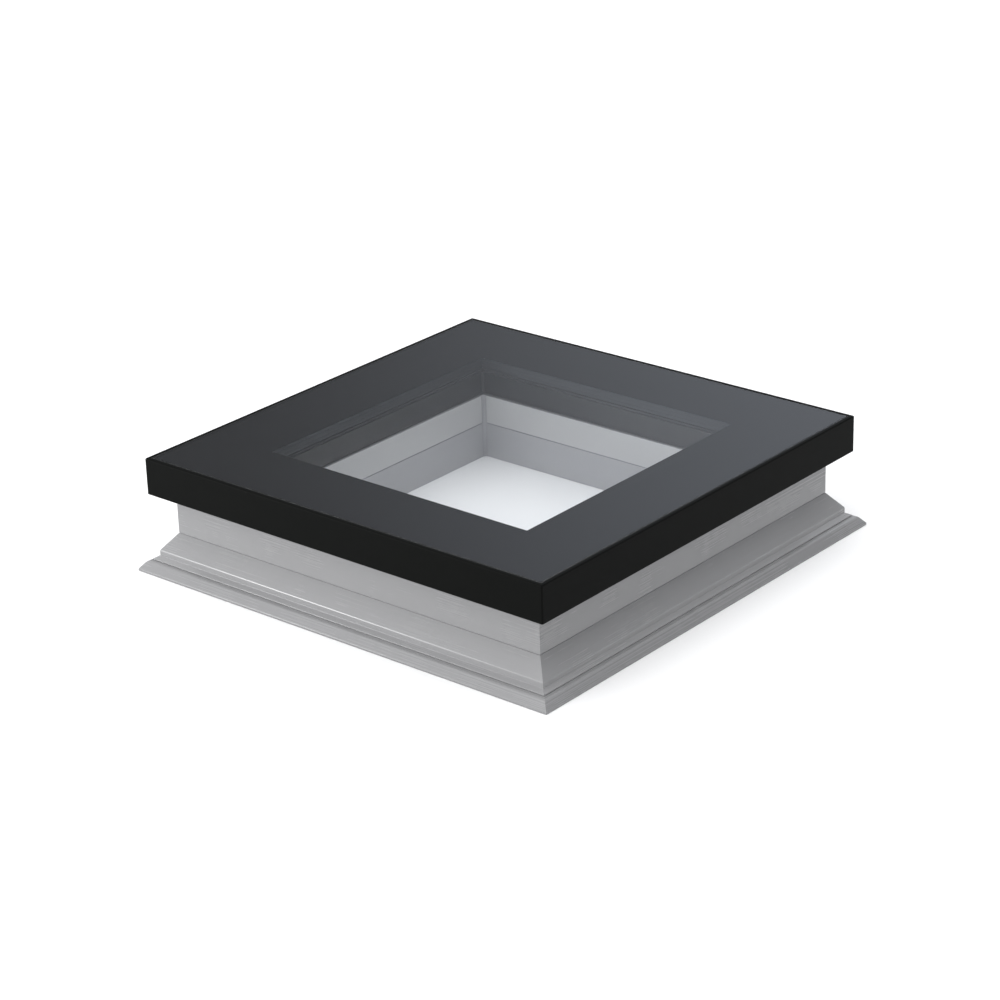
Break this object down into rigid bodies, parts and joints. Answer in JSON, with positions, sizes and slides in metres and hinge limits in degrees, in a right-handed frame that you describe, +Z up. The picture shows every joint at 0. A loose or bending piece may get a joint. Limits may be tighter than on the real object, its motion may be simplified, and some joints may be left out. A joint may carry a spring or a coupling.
{
  "type": "roof skylight",
  "caption": "Fixed flat roof skylight: square double glazed unit with a dark border in a dark cap, on an insulated light grey kerb with a spread foot and apron.",
  "frame": {"origin": "centre of the kerb's underside, on the roof deck", "axes": "+Z up through the glass, front side faces -Y, right side faces +X"},
  "size_m": [0.679, 0.679, 0.157],
  "materials": {
    "outer_glass": "clear toughened float glass, polished faces, dark enamel border fired on the underside",
    "border_enamel": "black ceramic enamel, seen through the pane",
    "inner_glass": "clear laminated glass",
    "spacer_metal": "dark anodised spacer bar",
    "key_plastic": "moulded nylon",
    "desiccant": "beads of molecular sieve",
    "sealant": "black cured sealant",
    "glazing_tape": "black foam tape",
    "gasket_rubber": "black extruded rubber, matt",
    "sash_plastic": "black extruded PVC, satin",
    "cap_coating": "near-black powder-coated aluminium, fine texture",
    "cleat_metal": "cast aluminium",
    "zinc_steel": "zinc-plated steel",
    "kerb_plastic": "light grey extruded PVC, satin",
    "shaft_sealant": "light grey sealant",
    "insulation": "expanded polystyrene",
    "apron_plastic": "light grey extruded PVC, satin"
  },
  "bodies": {
    "root": {"outer_pane": "outer_glass", "inner_pane_upper": "inner_glass", "interlayer": "inner_glass", "inner_pane_lower": "inner_glass", "spacer_keys": "key_plastic", "desiccant": "desiccant", "edge_seal": "sealant", "edge_bead": "sealant", "structural_tape": "glazing_tape", "bedding_tape": "glazing_tape", "setting_blocks": "gasket_rubber", "sash_cleats": "cleat_metal", "sash_beads": "sealant", "sash_gasket": "gasket_rubber", "upstand_gasket": "gasket_rubber", "cap_cleats": "cleat_metal", "cap_screws": "zinc_steel", "straps": "zinc_steel", "strap_screws": "zinc_steel", "tie_screws": "zinc_steel", "joint_tape": "gasket_rubber", "shaft_beads": "shaft_sealant", "spacer_front": "spacer_metal", "spacer_right": "spacer_metal", "spacer_back": "spacer_metal", "spacer_left": "spacer_metal", "sash_front": "sash_plastic", "sash_right": "sash_plastic", "sash_back": "sash_plastic", "sash_left": "sash_plastic", "cap_front": "cap_coating", "cap_right": "cap_coating", "cap_back": "cap_coating", "cap_left": "cap_coating", "kerb_upper_front": "kerb_plastic", "kerb_upper_right": "kerb_plastic", "kerb_upper_back": "kerb_plastic", "kerb_upper_left": "kerb_plastic", "core_upper_front": "insulation", "core_upper_right": "insulation", "core_upper_back": "insulation", "core_upper_left": "insulation", "kerb_base_front": "kerb_plastic", "kerb_base_right": "kerb_plastic", "kerb_base_back": "kerb_plastic", "kerb_base_left": "kerb_plastic", "core_base_front": "insulation", "core_base_right": "insulation", "core_base_back": "insulation", "core_base_left": "insulation", "apron_front": "apron_plastic", "apron_right": "apron_plastic", "apron_back": "apron_plastic", "apron_left": "apron_plastic"}
  },
  "joints": []
}
